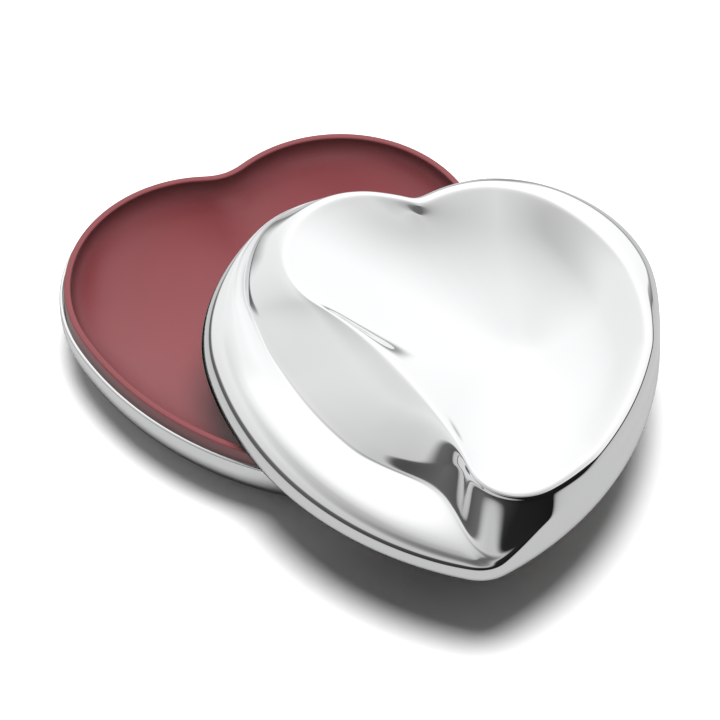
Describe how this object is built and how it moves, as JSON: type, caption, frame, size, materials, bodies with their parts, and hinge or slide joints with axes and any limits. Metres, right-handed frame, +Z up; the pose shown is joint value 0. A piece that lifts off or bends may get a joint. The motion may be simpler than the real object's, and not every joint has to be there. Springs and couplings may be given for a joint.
{
  "type": "heart-shaped trinket box",
  "caption": "Heart-shaped trinket box: polished steel bowl with a moulded red tray, and a loose sculpted steel lid laid askew across it.",
  "frame": {"origin": "middle of the base's flat underside, on the surface it stands on", "axes": "+Z up; +Y towards the notch of the base's heart, so its tip points to -Y; +X to the right seen from the tip"},
  "size_m": [0.1386, 0.1546, 0.0415],
  "materials": {
    "polished_steel": "mirror polish",
    "moulded_red": "satin moulded",
    "adhesive_foam": "closed-cell foam",
    "non_slip_rubber": "fine matt"
  },
  "bodies": {
    "base": {"foot_pad": "non_slip_rubber", "base_shell": "polished_steel", "tray_bond": "adhesive_foam", "base_liner": "moulded_red"},
    "lid": {"lid_shell": "polished_steel", "lid_liner": "moulded_red", "lid_bond": "adhesive_foam"}
  },
  "joints": [
    {"name": "lid_lift", "type": "slide", "parent": "base", "child": "lid", "axis": [0, 0, 1], "range_m": [0, 0.06]}
  ]
}
